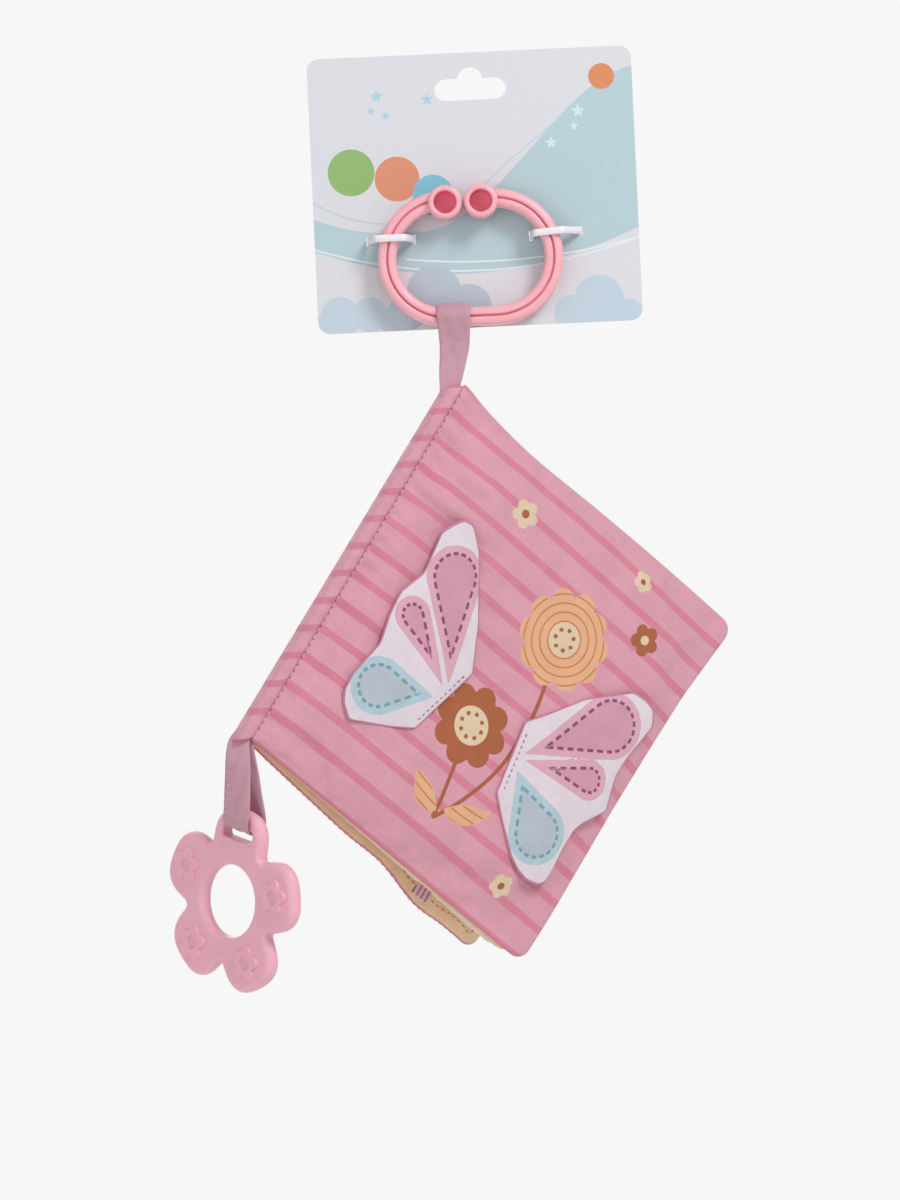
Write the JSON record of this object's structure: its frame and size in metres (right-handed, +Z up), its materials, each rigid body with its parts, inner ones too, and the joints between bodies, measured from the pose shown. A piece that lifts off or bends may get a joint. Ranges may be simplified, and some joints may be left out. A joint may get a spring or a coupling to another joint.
{
  "type": "crinkle cloth book",
  "caption": "Padded cloth baby book with lift-up flaps, hung by a ribbon from a plastic clip ring tied to a header card, with a flower-shaped teether on a second ribbon.",
  "frame": {"origin": "centre of the hang slot in the header card, on the card's mid-plane", "axes": "+X to the right as seen from the front, +Y away from the viewer, +Z up"},
  "size_m": [0.2038, 0.1429, 0.3384],
  "materials": {
    "card": "printed paperboard, satin",
    "ring": "glossy moulded",
    "tie": "translucent",
    "ribbon": "plain woven ribbon",
    "cover_cloth": "printed polyester cloth",
    "cream_cloth": "polyester cloth",
    "white_cloth": "polyester cloth",
    "flap_cloth": "printed polyester cloth",
    "padding": "polyester batting",
    "film": "clear crinkle film",
    "mirror": "soft mirror film",
    "squeaker": "soft moulded",
    "teether": "satin silicone"
  },
  "bodies": {
    "display": {"header_card": "card", "left_tie": "tie", "right_tie": "tie", "link_ring": "ring"},
    "top_ribbon": {"top_ribbon": "ribbon"},
    "spine": {"spine_cover": "cover_cloth", "spine_core": "padding", "mirror_leaf_front_panel": "white_cloth", "mirror_film": "mirror", "mirror_leaf_backing": "padding", "mirror_leaf_back_panel": "cream_cloth", "page_tab": "ribbon"},
    "inner_leaf": {"inner_leaf_front_panel": "cream_cloth", "inner_leaf_batting": "padding", "inner_leaf_back_panel": "cream_cloth"},
    "front_cover": {"front_outer_panel": "cover_cloth", "front_batting": "padding", "front_crinkle_film": "film", "front_lining": "cream_cloth", "squeaker_case": "squeaker", "squeaker_reed": "squeaker"},
    "back_cover": {"back_lining": "cream_cloth", "back_crinkle_film": "film", "back_batting": "padding", "back_outer_panel": "cover_cloth"},
    "left_flap": {"left_flap_front_panel": "flap_cloth", "left_flap_batting": "padding", "left_flap_back_panel": "cover_cloth"},
    "right_flap": {"right_flap_front_panel": "flap_cloth", "right_flap_batting": "padding", "right_flap_back_panel": "cover_cloth"},
    "teether_ribbon": {"teether_ribbon": "ribbon"},
    "teether": {"teether": "teether"}
  },
  "joints": [
    {"name": "book_swing", "type": "hinge", "parent": "display", "child": "top_ribbon", "pos_m": [-0.00599, -0.00605, -0.0835], "axis": [-0.9989, 0, -0.0461], "range_deg": [-25, 90]},
    {"name": "book_twist", "type": "hinge", "parent": "top_ribbon", "child": "spine", "pos_m": [-0.0062, -0.00605, -0.1086], "axis": [0, 0, -1], "range_deg": [-61.7, 118.3]},
    {"name": "leaf_turn", "type": "hinge", "parent": "spine", "child": "inner_leaf", "pos_m": [-0.03901, -0.02797, -0.17136], "axis": [0.4911, 0.2644, 0.83], "range_deg": [-170, 0]},
    {"name": "front_cover_turn", "type": "hinge", "parent": "inner_leaf", "child": "front_cover", "pos_m": [-0.03901, -0.02797, -0.17136], "axis": [-0.4911, -0.2644, -0.83], "range_deg": [0, 170]},
    {"name": "back_cover_turn", "type": "hinge", "parent": "spine", "child": "back_cover", "pos_m": [-0.04256, -0.02137, -0.17136], "axis": [0.4911, 0.2644, 0.83], "range_deg": [0, 138]},
    {"name": "left_flap_lift", "type": "hinge", "parent": "front_cover", "child": "left_flap", "pos_m": [-0.00901, -0.01932, -0.22187], "axis": [0.6804, 0.3663, 0.6347], "range_deg": [0, 150]},
    {"name": "right_flap_lift", "type": "hinge", "parent": "front_cover", "child": "right_flap", "pos_m": [0.01464, -0.00659, -0.24233], "axis": [0.3804, 0.2048, 0.9019], "range_deg": [-150, 0]},
    {"name": "teether_ribbon_swing", "type": "hinge", "parent": "spine", "child": "teether_ribbon", "pos_m": [-0.08084, -0.04624, -0.23689], "axis": [0.8805, 0.4741, 0], "range_deg": [-75, 75]},
    {"name": "teether_swing", "type": "hinge", "parent": "teether_ribbon", "child": "teether", "pos_m": [-0.0792, -0.04705, -0.26241], "axis": [0.7154, -0.6671, -0.2079], "range_deg": [-90, 75]}
  ]
}
